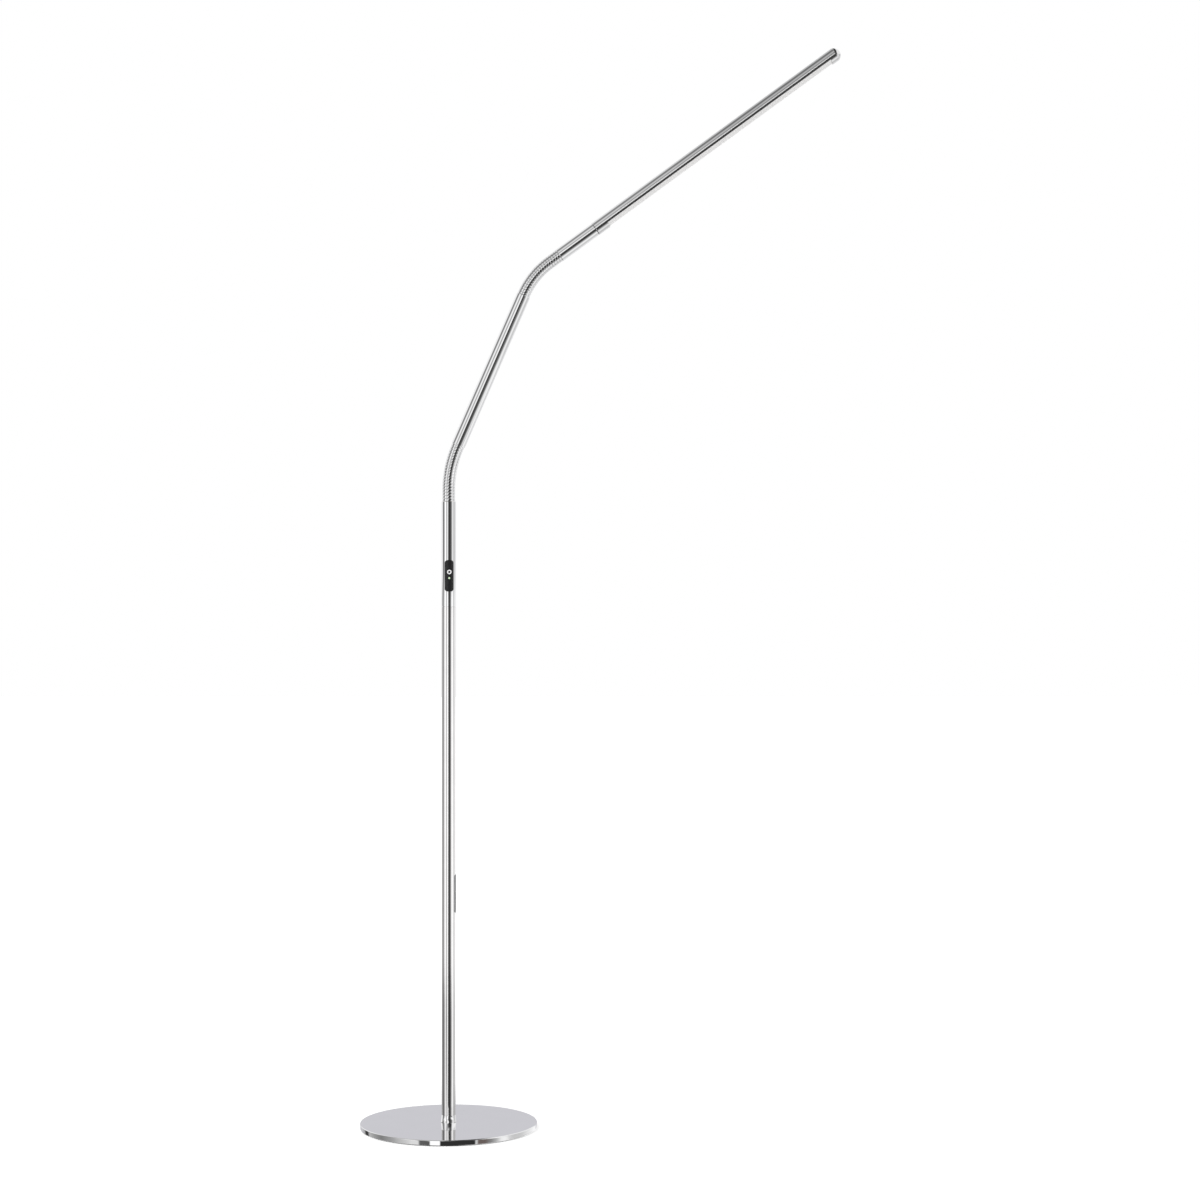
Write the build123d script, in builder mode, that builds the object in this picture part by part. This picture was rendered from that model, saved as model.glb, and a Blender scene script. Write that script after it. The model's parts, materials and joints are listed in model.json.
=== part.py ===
from build123d import *
from math import cos, radians, sin, sqrt
import os

os.makedirs("parts", exist_ok=True)

# Floor lamp: disc base, pole in two lengths, two goosenecks, a straight arm and a tubular light head.
# Millimetres, +Z up. The origin is on the floor under the pole, the arm leans towards +X and -Y is the front.

# Fits and clearances
press_gap = 0.05
running_gap = 0.05
panel_gap = 0.15
seat_gap = 0.1
slide_gap = 0.3
rim_chamfer = 0.35

# Base plate, floor pad and pole bolt
base_diameter = 235.0
base_thickness = 7.0
base_edge_chamfer = 0.7
pad_thickness = 1.0
pad_margin = 3.0
bolt_diameter = 8.0
bolt_head_diameter = 14.0
bolt_head_height = 2.6
bolt_engagement = 18.0
bolt_hole_gap = 0.25
key_width = 5.0
key_depth = 1.6
washer_diameter = 20.0
washer_thickness = 1.0
recess_margin = 1.0
recess_room = 0.4

# Flared foot
foot_diameter = 21.0
foot_height = 9.5
foot_lip = 0.5
foot_flare_sag = 0.15
foot_spigot_length = 30.0

# Pole
pole_diameter = 19.0
pole_wall = 1.2
lower_pole_length = 675.6
upper_pole_length = 139.8
spigot_grip = 26.0
thread_diameter = 12.0
thread_length = 12.0
spigot_bore = 7.0
thread_end_room = 1.5

# Supply lead
lead_diameter = 3.6
lead_gap = 0.6

# Panels let into the pole and the carriers behind them
panel_proud = 0.5
panel_edge_chamfer = 0.3
panel_corner_radius = 3.6
panel_side_wall = 1.7
carrier_overlap = 6.8
pocket_gap = 0.2
control_turn = 8.0
control_panel_height = 41.4
control_panel_width = 11.5
inlet_rise = 294.2
inlet_turn = 90.0
inlet_panel_height = 50.5
inlet_panel_width = 12.0

# Control board, switch, button and indicator
board_width = 12.6
board_length = 38.0
board_thickness = 1.2
board_depth = 2.2
switch_width = 6.0
switch_height = 3.5
switch_stem_diameter = 3.4
button_rise = 5.1
button_diameter = 6.0
button_core_diameter = 3.0
button_ring_thickness = 0.8
button_flange = 1.0
button_flange_thickness = 0.8
button_proud = 0.2
button_travel = 0.6
lens_drop = 3.0
lens_diameter = 2.2
lens_flange = 0.6
lens_flange_thickness = 0.6
indicator_size = 2.0
indicator_height = 0.8
screw_diameter = 2.0
screw_head_diameter = 3.4
screw_head_height = 1.2
screw_length = 5.0
screw_inset = 2.6

# Power socket
socket_width = 9.0
socket_back = 4.0
socket_nose_diameter = 7.6
socket_bore = 5.6
socket_depth = 9.5
pin_diameter = 2.0
pin_recess = 1.0

# Goosenecks
hose_diameter = 17.0
hose_bore = 9.2
hose_ribs = 19
rib_depth = 0.85
rib_shoulder = 0.18
link_ribs = 5
ferrule_length = 12.0
nipple_length = 7.0
lower_run_in = 14.3
lower_bend_radius = 150.5
lower_bend = 23.5
lower_run_out = 0.5
upper_run_in = 2.0
upper_bend_radius = 101.2
upper_bend = 30.4
upper_run_out = 17.2

# Arm and neck tubes
arm_diameter = 18.4
arm_wall = 1.1
arm_length = 217.2
neck_diameter = 17.8
neck_wall = 0.8
neck_length = 59.1

# Swivel between neck and head
swivel_grip = 16.0
spindle_diameter = 10.0
spindle_bore = 5.0
swivel_washer_diameter = 15.0
swivel_washer_thickness = 0.8
swivel_seam = 0.5
bush_length = 12.0
clip_diameter = 12.4
clip_thickness = 1.0
clip_groove = 0.6
spindle_end = 1.4

# Light head
head_diameter = 18.4
head_wall = 1.2
head_length = 401.8
cap_dome = 8.6
cap_lip = 0.6
cap_shoulder = 6.5
cap_spigot_length = 5.5
cap_room = 3.0
spindle_room = 2.7
slot_drop = 3.1
cover_gap = 0.15
cover_drop = 7.7
cover_wall = 1.4
cover_leg = 1.3
cover_leg_gap = 0.25
light_carrier_thickness = 2.6
light_carrier_drop = 0.4
light_board_width = 9.0
light_board_thickness = 1.0
emitter_length = 3.5
emitter_width = 2.8
emitter_height = 0.8
emitter_pitch = 8.0

# Levels and radii that follow from the sizes above
base_bottom = pad_thickness
base_top = base_bottom + base_thickness
foot_shoulder = base_top + foot_height
pole_seam = foot_shoulder + lower_pole_length
pole_top = pole_seam + upper_pole_length
pole_radius = pole_diameter / 2
pole_bore = pole_radius - pole_wall
joint_top = pole_seam + thread_length + thread_end_room
control_height = joint_top + carrier_overlap + control_panel_height / 2
inlet_height = foot_shoulder + inlet_rise
lead_radius = lead_diameter / 2
lead_bore = lead_radius + lead_gap
hose_radius = hose_diameter / 2
nipple_radius = hose_bore / 2 - slide_gap
arm_bore = arm_diameter / 2 - arm_wall
neck_bore = neck_diameter / 2 - neck_wall
head_radius = head_diameter / 2
head_bore = head_radius - head_wall
front = Vector(0, -1, 0)
across_arm = Vector(0, 1, 0)


def heading(angle):
    """Direction in the plane of the arm, leaning by angle from upright towards +X."""
    return Vector(sin(radians(angle)), 0, cos(radians(angle)))


def axis_section(plane):
    """Plane through a turned piece's axis: local x is the radius and local y runs along the axis."""
    return Plane(origin=plane.origin, x_dir=plane.x_dir, z_dir=-plane.y_dir)


def turned(plane, *outline):
    """Solid turned about the plane's normal from an outline of (radius, height) points."""
    with BuildPart() as piece:
        with BuildSketch(axis_section(plane)):
            with BuildLine():
                Polyline(*outline, close=True)
            make_face()
        revolve(axis=Axis(plane.origin, plane.z_dir))
    return piece


def ring(plane, inner, outer, bottom, top):
    """Plain turned ring between two radii and two heights."""
    return turned(plane, (inner, bottom), (outer, bottom), (outer, top), (inner, top))


def tube(plane, length, diameter, wall):
    """Round tube with both outer rims chamfered."""
    with BuildPart() as piece:
        with BuildSketch(plane):
            Circle(diameter / 2)
            Circle(diameter / 2 - wall, mode=Mode.SUBTRACT)
        extrude(amount=length)
        rims = piece.edges().filter_by(GeomType.CIRCLE).group_by(SortBy.RADIUS)[-1]
        chamfer(rims, rim_chamfer)
    return piece


def lead_run(planes):
    """Stretch of the supply lead through circles on the given planes."""
    with BuildPart() as piece:
        for plane in planes:
            with BuildSketch(plane):
                Circle(lead_radius)
        loft(ruled=True)
    return piece


def write(piece, name):
    piece.part.label = name
    export_step(piece.part, f"parts/{name}.step")


class Gooseneck:
    """Ribbed hose along a straight run, a bend and a straight run, between the mouths of two tubes."""

    def __init__(self, start, angle, run_in, radius, turn, run_out):
        self.start = start
        self.angle = angle
        self.run_in = run_in
        self.radius = radius
        self.turn = turn
        self.arc = radius * radians(turn)
        self.length = run_in + self.arc + run_out
        self.pitch = self.length / hose_ribs
        middle = hose_ribs // 2
        self.cuts = [0, middle - link_ribs, middle, middle + link_ribs, hose_ribs]

    def at_rib(self, count):
        """Distance from the first mouth to the valley after this many ribs."""
        return count * self.pitch

    def plane(self, distance):
        """Plane square to the hose at a distance from the first mouth, with its X axis across the arm."""
        bent = min(max(distance - self.run_in, 0), self.arc)
        angle = self.angle + bent / self.arc * self.turn
        before = min(distance, self.run_in)
        after = max(distance - self.run_in - self.arc, 0)
        first, last = radians(self.angle), radians(angle)
        curve = Vector(cos(first) - cos(last), 0, sin(last) - sin(first)) * self.radius
        origin = self.start + heading(self.angle) * before + curve + heading(angle) * after
        return Plane(origin=origin, x_dir=across_arm, z_dir=heading(angle))

    def hose(self, first_rib, last_rib):
        """Stretch of the hose from one valley to another, with four circles to each rib and a bore."""
        crest = hose_radius
        valley = hose_radius - rib_depth
        shoulder = hose_radius - rib_shoulder * rib_depth
        rib = ((0, valley), (rib_shoulder, shoulder), (1 / 2, crest), (1 - rib_shoulder, shoulder))
        with BuildPart() as piece:
            for count in range(first_rib, last_rib):
                for part_of_rib, radius in rib:
                    with BuildSketch(self.plane(self.at_rib(count + part_of_rib))):
                        Circle(radius)
            with BuildSketch(self.plane(self.at_rib(last_rib))):
                Circle(valley)
            loft(ruled=True)
            for count in range(first_rib, last_rib + 1):
                with BuildSketch(self.plane(self.at_rib(count))):
                    Circle(hose_bore / 2)
            loft(ruled=True, mode=Mode.SUBTRACT)
        return piece

    def lead_planes(self, first, last):
        """Planes a rib apart for the lead, between two distances from the first mouth."""
        steps = max(1, round((last - first) / self.pitch))
        return [self.plane(first + (last - first) * step / steps) for step in range(steps + 1)]


def ferrule(plane, bore):
    """End fitting of a gooseneck: a plug for the tube and a nipple for the hose, with a hole for the lead."""
    plug = bore - press_gap
    return turned(
        plane,
        (lead_bore, -ferrule_length),
        (plug, -ferrule_length),
        (plug, 0),
        (nipple_radius, 0),
        (nipple_radius, nipple_length),
        (lead_bore, nipple_length),
    )


# Where the tubes and goosenecks lie
lower_neck = Gooseneck(
    Vector(0, 0, pole_top), 0, lower_run_in, lower_bend_radius, lower_bend, lower_run_out
)
arm_start = lower_neck.plane(lower_neck.length)
arm_end = arm_start.offset(arm_length)
upper_neck = Gooseneck(
    arm_end.origin, lower_bend, upper_run_in, upper_bend_radius, upper_bend, upper_run_out
)
neck_start = upper_neck.plane(upper_neck.length)
seam_plane = neck_start.offset(neck_length)
head_down = across_arm.cross(seam_plane.z_dir)
head_plane = Plane(origin=seam_plane.origin, x_dir=head_down, z_dir=seam_plane.z_dir)


# Floor pad: a ring that leaves the bolt in reach
recess_radius = washer_diameter / 2 + recess_margin
pad = ring(Plane.XY, recess_radius, base_diameter / 2 - pad_margin, 0, pad_thickness)
write(pad, "floor_pad")

# Base plate with a recess under it for the bolt head and washer
bolt_radius = bolt_diameter / 2
recess_depth = washer_thickness + bolt_head_height + recess_room
with BuildPart() as base_plate:
    with BuildSketch(Plane.XY.offset(base_bottom)):
        Circle(base_diameter / 2)
        Circle(bolt_radius + bolt_hole_gap, mode=Mode.SUBTRACT)
    extrude(amount=base_thickness)
    with BuildSketch(Plane.XY.offset(base_bottom)):
        Circle(recess_radius)
    extrude(amount=recess_depth, mode=Mode.SUBTRACT)
    outer_edges = base_plate.edges().filter_by(GeomType.CIRCLE).group_by(SortBy.RADIUS)[-1]
    chamfer(outer_edges.sort_by(Axis.Z)[-1], base_edge_chamfer)
write(base_plate, "base_plate")

# Washer and bolt, screwed up into the foot
washer_bottom = base_bottom + recess_depth - washer_thickness
base_washer = ring(
    Plane.XY,
    bolt_radius + bolt_hole_gap,
    washer_diameter / 2,
    washer_bottom,
    washer_bottom + washer_thickness,
)
write(base_washer, "base_washer")

bolt_bottom = washer_bottom - bolt_head_height
bolt_top = base_top + bolt_engagement
with BuildPart() as base_bolt:
    with BuildSketch(Plane.XY.offset(bolt_bottom)):
        Circle(bolt_head_diameter / 2)
    extrude(amount=bolt_head_height)
    with BuildSketch(Plane.XY.offset(washer_bottom)):
        Circle(bolt_radius)
    extrude(amount=bolt_top - washer_bottom)
    with BuildSketch(Plane.XY.offset(bolt_bottom)):
        RegularPolygon(key_width / 2, 6, major_radius=False)
    extrude(amount=key_depth, mode=Mode.SUBTRACT)
write(base_bolt, "base_bolt")

# Flared foot: a turned boss on the base with a spigot up into the pole
foot_radius = foot_diameter / 2
foot_thread = bolt_radius + press_gap
foot_spigot = pole_bore - press_gap
foot_top = foot_shoulder + foot_spigot_length
with BuildPart() as pole_foot:
    with BuildSketch(Plane.XZ):
        with BuildLine():
            Polyline((foot_thread, base_top), (foot_radius, base_top), (foot_radius, base_top + foot_lip))
            SagittaArc((foot_radius, base_top + foot_lip), (pole_radius, foot_shoulder), foot_flare_sag)
            Polyline(
                (pole_radius, foot_shoulder),
                (foot_spigot, foot_shoulder),
                (foot_spigot, foot_top),
                (foot_thread, foot_top),
                (foot_thread, base_top),
            )
        make_face()
    revolve(axis=Axis.Z)
write(pole_foot, "pole_foot")


def facing(height, turn):
    """Plane on the pole's axis that faces out of the pole, turned from the front towards +X."""
    outwards = front.rotate(Axis.Z, turn)
    return Plane(origin=(0, 0, height), x_dir=Vector(0, 0, 1).cross(outwards), z_dir=outwards)


def panel_back(width):
    """Distance from the pole's axis to the flat back of a panel of this width."""
    return sqrt((pole_radius + panel_proud) ** 2 - (width / 2) ** 2) - panel_side_wall


def pole_panel(plane, height, width, holes):
    """Panel let into the pole: rounded like the pole outside, flat behind, with (offset, radius) holes."""
    with BuildPart() as piece:
        with BuildSketch(plane.offset(panel_back(width))):
            RectangleRounded(width, height, panel_corner_radius)
        extrude(amount=pole_diameter)
        with BuildSketch(Plane.XY.offset(plane.origin.Z - height)):
            Circle(pole_radius + panel_proud)
        extrude(amount=2 * height, mode=Mode.INTERSECT)
        round_face = piece.faces().sort_by(Axis(plane.origin, plane.z_dir))[-1]
        chamfer(round_face.outer_wire().edges(), panel_edge_chamfer)
        with BuildSketch(plane):
            for offset, radius in holes:
                with Locations((0, offset)):
                    Circle(radius)
        extrude(amount=pole_diameter, mode=Mode.SUBTRACT)
    return piece


def pole_length(bottom, length, plane, height, width):
    """Length of the pole with the window for a panel."""
    with BuildPart() as piece:
        add(tube(Plane.XY.offset(bottom), length, pole_diameter, pole_wall).part)
        with BuildSketch(plane):
            RectangleRounded(width + 2 * panel_gap, height + 2 * panel_gap, panel_corner_radius + panel_gap)
        extrude(amount=pole_diameter, mode=Mode.SUBTRACT)
    return piece


def panel_carrier(plane, panel_height, back, pocket, screws):
    """Plug inside the pole behind a panel, with a pocket (width, length, depth) and a way for the lead."""
    width, length, depth = pocket
    carrier_length = panel_height + 2 * carrier_overlap
    with BuildPart() as piece:
        with BuildSketch(Plane.XY.offset(plane.origin.Z - carrier_length / 2)):
            Circle(pole_bore - seat_gap)
            Circle(lead_bore, mode=Mode.SUBTRACT)
        extrude(amount=carrier_length)
        with BuildSketch(plane.offset(back)):
            Rectangle(pole_diameter, carrier_length)
        extrude(amount=pole_diameter, mode=Mode.SUBTRACT)
        with BuildSketch(plane.offset(-depth)):
            Rectangle(width, length)
        extrude(amount=pole_diameter, mode=Mode.SUBTRACT)
        if screws:
            with BuildSketch(plane.offset(-depth)):
                with Locations(*screws):
                    Circle(screw_diameter / 2 + press_gap)
            extrude(amount=-screw_length, mode=Mode.SUBTRACT)
    return piece


# Lower pole with the power inlet: panel, carrier, socket and the socket's pin
inlet_plane = facing(inlet_height, inlet_turn)
inlet_back = panel_back(inlet_panel_width)
nose_radius = socket_nose_diameter / 2
write(
    pole_length(foot_shoulder, lower_pole_length, inlet_plane, inlet_panel_height, inlet_panel_width),
    "lower_pole",
)
write(
    pole_panel(inlet_plane, inlet_panel_height, inlet_panel_width, [(0, nose_radius + panel_gap)]),
    "inlet_panel",
)
socket_room = socket_width + 2 * pocket_gap
socket_pocket = (socket_room, socket_room, socket_back)
write(panel_carrier(inlet_plane, inlet_panel_height, inlet_back, socket_pocket, []), "inlet_carrier")

socket_front = inlet_back - seat_gap
nose_front = pole_radius
socket_floor = nose_front - socket_depth
with BuildPart() as power_socket:
    with BuildSketch(inlet_plane.offset(-socket_back)):
        Rectangle(socket_width, socket_width)
    extrude(amount=socket_back + socket_front)
    with BuildSketch(inlet_plane.offset(socket_front)):
        Circle(nose_radius)
    extrude(amount=nose_front - socket_front)
    with BuildSketch(inlet_plane.offset(socket_floor)):
        Circle(socket_bore / 2)
    extrude(amount=socket_depth, mode=Mode.SUBTRACT)
write(power_socket, "power_socket")

with BuildPart() as socket_pin:
    with BuildSketch(inlet_plane.offset(socket_floor)):
        Circle(pin_diameter / 2)
    extrude(amount=socket_depth - pin_recess)
write(socket_pin, "socket_pin")

# Threaded spigot and socket that join the two lengths of the pole
seam_level = Plane.XY.offset(pole_seam)
thread_radius = thread_diameter / 2
pole_plug = pole_bore - press_gap
joint_spigot = turned(
    seam_level,
    (spigot_bore / 2, -spigot_grip),
    (pole_plug, -spigot_grip),
    (pole_plug, 0),
    (thread_radius, 0),
    (thread_radius, thread_length),
    (spigot_bore / 2, thread_length),
)
write(joint_spigot, "joint_spigot")
joint_socket = ring(
    seam_level, thread_radius + press_gap, pole_plug, seat_gap, joint_top - pole_seam
)
write(joint_socket, "joint_socket")

# Upper pole with the control panel: carrier, board and what is soldered to it
control_plane = facing(control_height, control_turn)
control_back = panel_back(control_panel_width)
button_radius = button_diameter / 2
lens_radius = lens_diameter / 2
write(
    pole_length(pole_seam, upper_pole_length, control_plane, control_panel_height, control_panel_width),
    "upper_pole",
)
control_holes = [(button_rise, button_radius + slide_gap), (-lens_drop, lens_radius + panel_gap)]
write(
    pole_panel(control_plane, control_panel_height, control_panel_width, control_holes), "control_panel"
)
screw_offset = board_length / 2 - screw_inset
screw_places = [(0, -screw_offset), (0, screw_offset)]
board_pocket = (board_width + 2 * pocket_gap, board_length + 2 * pocket_gap, board_depth)
write(
    panel_carrier(control_plane, control_panel_height, control_back, board_pocket, screw_places),
    "panel_carrier",
)

board_front = board_thickness - board_depth
with BuildPart() as control_board:
    with BuildSketch(control_plane.offset(-board_depth)):
        Rectangle(board_width, board_length)
        with Locations(*screw_places):
            Circle(screw_diameter / 2 + seat_gap, mode=Mode.SUBTRACT)
    extrude(amount=board_thickness)
write(control_board, "control_board")

with BuildPart() as board_screws:
    with BuildSketch(control_plane.offset(board_front)):
        with Locations(*screw_places):
            Circle(screw_head_diameter / 2)
    extrude(amount=screw_head_height)
    with BuildSketch(control_plane.offset(board_front)):
        with Locations(*screw_places):
            Circle(screw_diameter / 2)
    extrude(amount=-screw_length)
write(board_screws, "board_screws")

# Button behind the panel: the flange keeps it in, the ring is let into its face, the switch stands under it
flange_front = control_back - slide_gap
flange_back = flange_front - button_flange_thickness
button_face = pole_radius + panel_proud + button_proud
ring_seat = button_face - button_ring_thickness
core_radius = button_core_diameter / 2
button_plane = Plane(
    origin=control_plane.from_local_coords(Vector(0, button_rise, 0)),
    x_dir=control_plane.x_dir,
    z_dir=control_plane.z_dir,
)
power_button = turned(
    button_plane,
    (0, flange_back),
    (button_radius + button_flange, flange_back),
    (button_radius + button_flange, flange_front),
    (button_radius, flange_front),
    (button_radius, ring_seat),
    (core_radius, ring_seat),
    (core_radius, button_face),
    (0, button_face),
)
write(power_button, "power_button")
button_ring = ring(button_plane, core_radius + press_gap, button_radius, ring_seat, button_face)
write(button_ring, "button_ring")

stem_top = flange_back - button_travel - seat_gap
with BuildPart() as tact_switch:
    with BuildSketch(button_plane.offset(board_front)):
        Rectangle(switch_width, switch_width)
    extrude(amount=switch_height)
    with BuildSketch(button_plane.offset(board_front)):
        Circle(switch_stem_diameter / 2)
    extrude(amount=stem_top - board_front)
write(tact_switch, "tact_switch")

# Indicator: a light on the board under a clear rod that reaches the panel's face
lens_plane = Plane(
    origin=control_plane.from_local_coords(Vector(0, -lens_drop, 0)),
    x_dir=control_plane.x_dir,
    z_dir=control_plane.z_dir,
)
with BuildPart() as indicator_light:
    with BuildSketch(lens_plane.offset(board_front)):
        Rectangle(indicator_size, indicator_size)
    extrude(amount=indicator_height)
write(indicator_light, "indicator_light")
lens_back = board_front + indicator_height + seat_gap
lens_shelf = control_back - seat_gap
indicator_lens = turned(
    lens_plane,
    (0, lens_back),
    (lens_radius, lens_back),
    (lens_radius, lens_shelf - lens_flange_thickness),
    (lens_radius + lens_flange, lens_shelf - lens_flange_thickness),
    (lens_radius + lens_flange, lens_shelf),
    (lens_radius, lens_shelf),
    (lens_radius, pole_radius + panel_proud),
    (0, pole_radius + panel_proud),
)
write(indicator_lens, "indicator_lens")

# Goosenecks: hose stretches between the hinge points, with a ferrule in each tube
for side, neck in (("lower", lower_neck), ("upper", upper_neck)):
    for number, (first, last) in enumerate(zip(neck.cuts, neck.cuts[1:]), 1):
        write(neck.hose(first, last), f"{side}_hose_{number}")
write(ferrule(lower_neck.plane(0), pole_bore), "pole_ferrule")
for name, neck, bore in (("arm_foot", lower_neck, arm_bore), ("neck", upper_neck, neck_bore)):
    far_end = neck.plane(neck.length)
    turned_back = Plane(origin=far_end.origin, x_dir=far_end.x_dir, z_dir=-far_end.z_dir)
    write(ferrule(turned_back, bore), f"{name}_ferrule")
write(ferrule(arm_end, arm_bore), "arm_top_ferrule")

# Straight tubes of the arm and neck
write(tube(arm_start, arm_length, arm_diameter, arm_wall), "arm_tube")
write(tube(neck_start, neck_length, neck_diameter, neck_wall), "neck_tube")

# Swivel: the spigot sits in the neck, and the bush in the head turns on its spindle
spindle_radius = spindle_diameter / 2
groove_radius = spindle_radius - clip_groove
bush_end = swivel_washer_thickness + bush_length
groove_start = bush_end + seat_gap
groove_end = groove_start + clip_thickness + 2 * seat_gap
spindle_tip = groove_end + spindle_end
swivel_spigot = turned(
    head_plane,
    (spindle_bore / 2, -swivel_grip),
    (neck_bore - press_gap, -swivel_grip),
    (neck_bore - press_gap, 0),
    (spindle_radius, 0),
    (spindle_radius, groove_start),
    (groove_radius, groove_start),
    (groove_radius, groove_end),
    (spindle_radius, groove_end),
    (spindle_radius, spindle_tip),
    (spindle_bore / 2, spindle_tip),
)
write(swivel_spigot, "swivel_spigot")
swivel_washer = ring(
    head_plane,
    spindle_radius + running_gap,
    swivel_washer_diameter / 2,
    0,
    swivel_washer_thickness,
)
write(swivel_washer, "swivel_washer")
head_bush = ring(
    head_plane, spindle_radius + running_gap, head_bore - press_gap, swivel_washer_thickness, bush_end
)
write(head_bush, "head_bush")
swivel_clip = ring(
    head_plane,
    groove_radius + running_gap,
    clip_diameter / 2,
    groove_start + seat_gap,
    groove_start + seat_gap + clip_thickness,
)
write(swivel_clip, "swivel_clip")

# Head tube, open along its underside between two full-round ends
tube_end = head_length - cap_dome
slot_start = spindle_tip + spindle_room
slot_end = tube_end - cap_spigot_length - cap_room
slot_length = slot_end - slot_start
with BuildPart() as head_tube:
    add(tube(head_plane.offset(swivel_seam), tube_end - swivel_seam, head_diameter, head_wall).part)
    with BuildSketch(head_plane.offset(slot_start)):
        with Locations((slot_drop, 0)):
            Rectangle(head_diameter, head_diameter, align=(Align.MIN, Align.CENTER))
    extrude(amount=slot_length, mode=Mode.SUBTRACT)
write(head_tube, "head_tube")

# Domed end cap: a shoulder arc that runs smoothly out of the tube and into the crown arc
cap_plug = head_bore - press_gap
dome_height = cap_dome - cap_lip
shoulder_in = head_radius - cap_shoulder
crown_radius = (shoulder_in**2 + dome_height**2 - cap_shoulder**2) / (2 * (dome_height - cap_shoulder))
crown_centre = Vector(0, head_length - crown_radius)
crown_side = (Vector(shoulder_in, tube_end + cap_lip) - crown_centre).normalized()
shoulder_end = crown_centre + crown_side * crown_radius
with BuildPart() as end_cap:
    with BuildSketch(axis_section(head_plane)):
        with BuildLine():
            Polyline(
                (0, head_length),
                (0, tube_end - cap_spigot_length),
                (cap_plug, tube_end - cap_spigot_length),
                (cap_plug, tube_end),
                (head_radius, tube_end),
                (head_radius, tube_end + cap_lip),
            )
            TangentArc((head_radius, tube_end + cap_lip), shoulder_end, tangent=(0, 1))
            TangentArc(shoulder_end, (0, head_length), tangent=(-crown_side.Y, crown_side.X))
        make_face()
    revolve(axis=Axis(head_plane.origin, head_plane.z_dir))
write(end_cap, "end_cap")

# Aluminium carrier across the head, with the light board and its emitters facing down
carrier_top = light_carrier_drop - light_carrier_thickness
carrier_reach = max(abs(carrier_top), abs(light_carrier_drop))
carrier_half = sqrt((head_bore - seat_gap) ** 2 - carrier_reach**2)
with BuildPart() as light_carrier:
    with BuildSketch(head_plane.offset(slot_start)):
        with Locations((carrier_top, 0)):
            Rectangle(light_carrier_thickness, 2 * carrier_half, align=(Align.MIN, Align.CENTER))
    extrude(amount=slot_length)
write(light_carrier, "light_carrier")
with BuildPart() as light_board:
    with BuildSketch(head_plane.offset(slot_start)):
        with Locations((light_carrier_drop, 0)):
            Rectangle(light_board_thickness, light_board_width, align=(Align.MIN, Align.CENTER))
    extrude(amount=slot_length)
write(light_board, "light_board")

emitter_drop = light_carrier_drop + light_board_thickness
emitter_count = int((slot_length - emitter_pitch) // emitter_pitch) + 1
emitter_plane = Plane(
    origin=head_plane.from_local_coords(Vector(emitter_drop, 0, (slot_start + slot_end) / 2)),
    x_dir=head_plane.z_dir,
    z_dir=head_plane.x_dir,
)
with BuildPart() as light_emitters:
    with BuildSketch(emitter_plane):
        with GridLocations(emitter_pitch, emitter_pitch, emitter_count, 1):
            Rectangle(emitter_length, emitter_width)
    extrude(amount=emitter_height)
write(light_emitters, "light_emitters")

# Milky cover: a shallow arch over the slot on two legs that stand on the carrier
cover_edge = slot_drop + cover_gap
cover_half = sqrt(head_radius**2 - cover_edge**2)
cover_inner_half = cover_half - cover_wall
leg_outer = sqrt(head_bore**2 - slot_drop**2) - cover_leg_gap
leg_height = cover_edge - light_carrier_drop + cover_wall
with BuildPart() as light_cover:
    with BuildSketch(head_plane.offset(slot_start + cover_gap)):
        with BuildLine():
            ThreePointArc((cover_edge, -cover_half), (cover_drop, 0), (cover_edge, cover_half))
            Line((cover_edge, cover_half), (cover_edge, -cover_half))
        make_face()
        with BuildLine():
            ThreePointArc(
                (cover_edge, -cover_inner_half),
                (cover_drop - cover_wall, 0),
                (cover_edge, cover_inner_half),
            )
            Line((cover_edge, cover_inner_half), (cover_edge, -cover_inner_half))
        make_face(mode=Mode.SUBTRACT)
        for side in (-1, 1):
            with Locations((light_carrier_drop, side * (leg_outer - cover_leg / 2))):
                Rectangle(leg_height, cover_leg, align=(Align.MIN, Align.CENTER))
    extrude(amount=slot_length - 2 * cover_gap)
write(light_cover, "light_cover")

# Supply lead in stretches: socket to board, then board to head, cut where the goosenecks turn
board_gap = board_length / 2 + pocket_gap
level = Plane.XY
lower_turns = [lower_neck.at_rib(cut) for cut in lower_neck.cuts[1:-1]]
upper_turns = [upper_neck.at_rib(cut) for cut in upper_neck.cuts[1:-1]]
write(
    lead_run([level.offset(inlet_height + socket_width / 2), level.offset(control_height - board_gap)]),
    "supply_lead",
)
pole_stretch = [level.offset(control_height + board_gap)] + lower_neck.lead_planes(0, lower_turns[0])
write(lead_run(pole_stretch), "pole_lead")
arm_stretch = lower_neck.lead_planes(lower_turns[2], lower_neck.length)
arm_stretch += upper_neck.lead_planes(0, upper_turns[0])
write(lead_run(arm_stretch), "arm_lead")
neck_stretch = upper_neck.lead_planes(upper_turns[2], upper_neck.length) + [seam_plane]
write(lead_run(neck_stretch), "neck_lead")
for side, neck, turns in (("lower", lower_neck, lower_turns), ("upper", upper_neck, upper_turns)):
    for number, (first, last) in enumerate(zip(turns, turns[1:]), 2):
        write(lead_run(neck.lead_planes(first, last)), f"{side}_lead_{number}")
write(lead_run([seam_plane, seam_plane.offset(slot_start - seat_gap)]), "head_lead")

# Hinge points of the goosenecks, the swivel and the button, in millimetres
for side, neck, turns in (("lower", lower_neck, lower_turns), ("upper", upper_neck, upper_turns)):
    print(side, "gooseneck: pitch", round(neck.pitch, 3), "length", round(neck.length, 2))
    for turn in turns:
        plane = neck.plane(turn)
        sideways = across_arm.cross(plane.z_dir)
        print("  hinge at", plane.origin, "along", plane.z_dir, "sideways axis", sideways)
print("swivel at", seam_plane.origin, "axis", seam_plane.z_dir)
print("button at", button_plane.origin, "outwards", button_plane.z_dir)
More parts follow.
